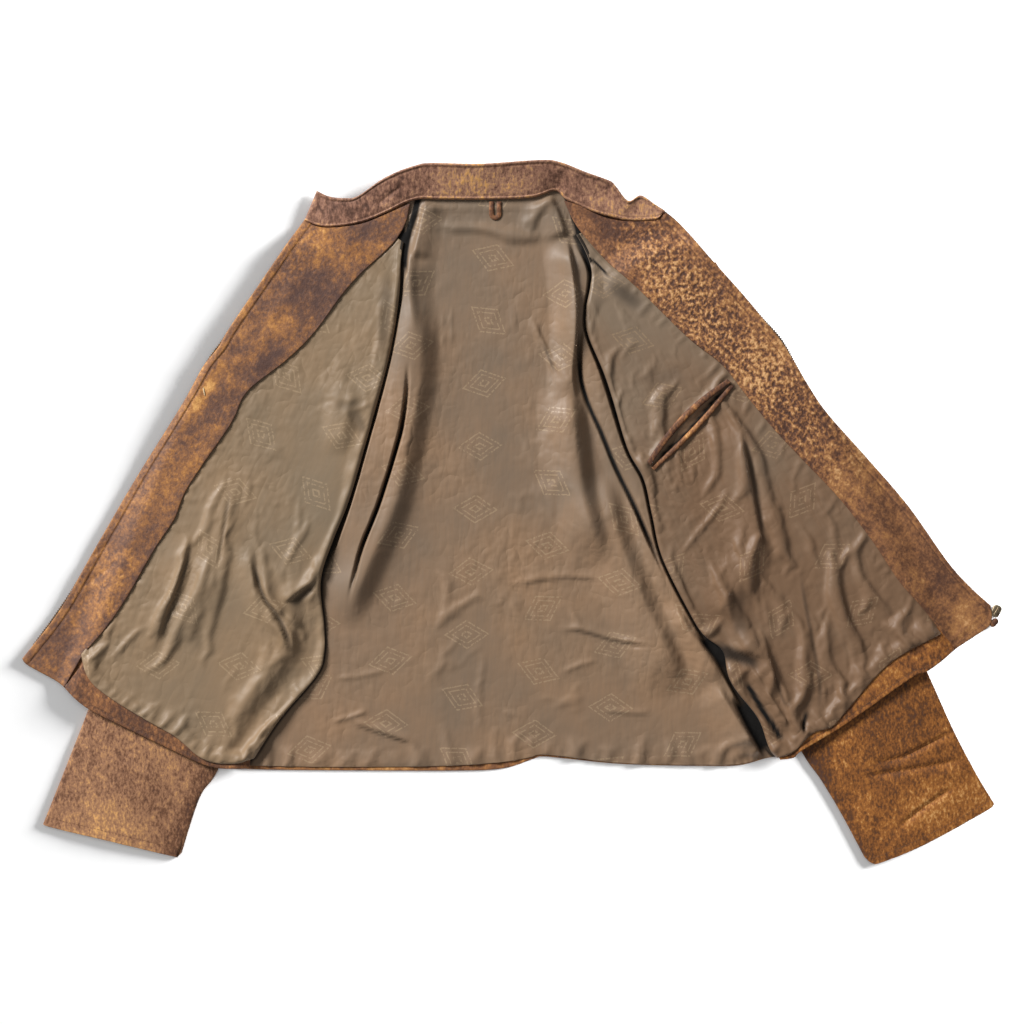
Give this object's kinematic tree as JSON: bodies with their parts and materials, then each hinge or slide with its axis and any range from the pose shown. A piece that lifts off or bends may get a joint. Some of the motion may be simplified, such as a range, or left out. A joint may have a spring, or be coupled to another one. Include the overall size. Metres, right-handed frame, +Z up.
{
  "type": "leather jacket laid open",
  "caption": "Distressed leather jacket lying open on its back: satin lining up, fronts spread over flattened sleeves, stand collar, inner welt pocket and front zip.",
  "frame": {"origin": "on the surface the jacket lies on, under the middle of its bounding box", "axes": "+Z up from the surface, +Y towards the collar, +X towards the front that holds the inner pocket"},
  "size_m": [1.028, 0.7319, 0.0208],
  "materials": {
    "leather_facing": "mottled, rubbed tan over brown",
    "leather_shell": "worn brown",
    "leather_sleeve": "speckled brown",
    "leather_collar": "rubbed tan brown",
    "leather_trim": "dark brown with rubbed edges",
    "lining_satin": "khaki brown satin, tone on tone figure",
    "zip_tape": "dark woven tape with dark teeth",
    "zip_metal": "dulled old brass"
  },
  "bodies": {
    "root": {"back_lining": "lining_satin", "back_shell": "leather_shell", "collar_inner": "leather_collar", "collar_outer": "leather_shell", "front_facing_left": "leather_facing", "front_facing_right": "leather_facing", "front_lining_left": "lining_satin", "front_lining_right": "lining_satin", "front_shell_left": "leather_shell", "front_shell_right": "leather_shell", "hanger_loop": "leather_trim", "hem_turnup_left": "leather_trim", "hem_turnup_right": "leather_trim", "pocket_welt_lower": "leather_trim", "pocket_welt_upper": "leather_trim", "sleeve_top_left": "leather_sleeve", "sleeve_top_right": "leather_sleeve", "sleeve_under_left": "leather_sleeve", "sleeve_under_right": "leather_sleeve", "zip_end_right": "zip_metal", "zip_tape_left": "zip_tape", "zip_tape_right": "zip_tape"}
  },
  "joints": []
}
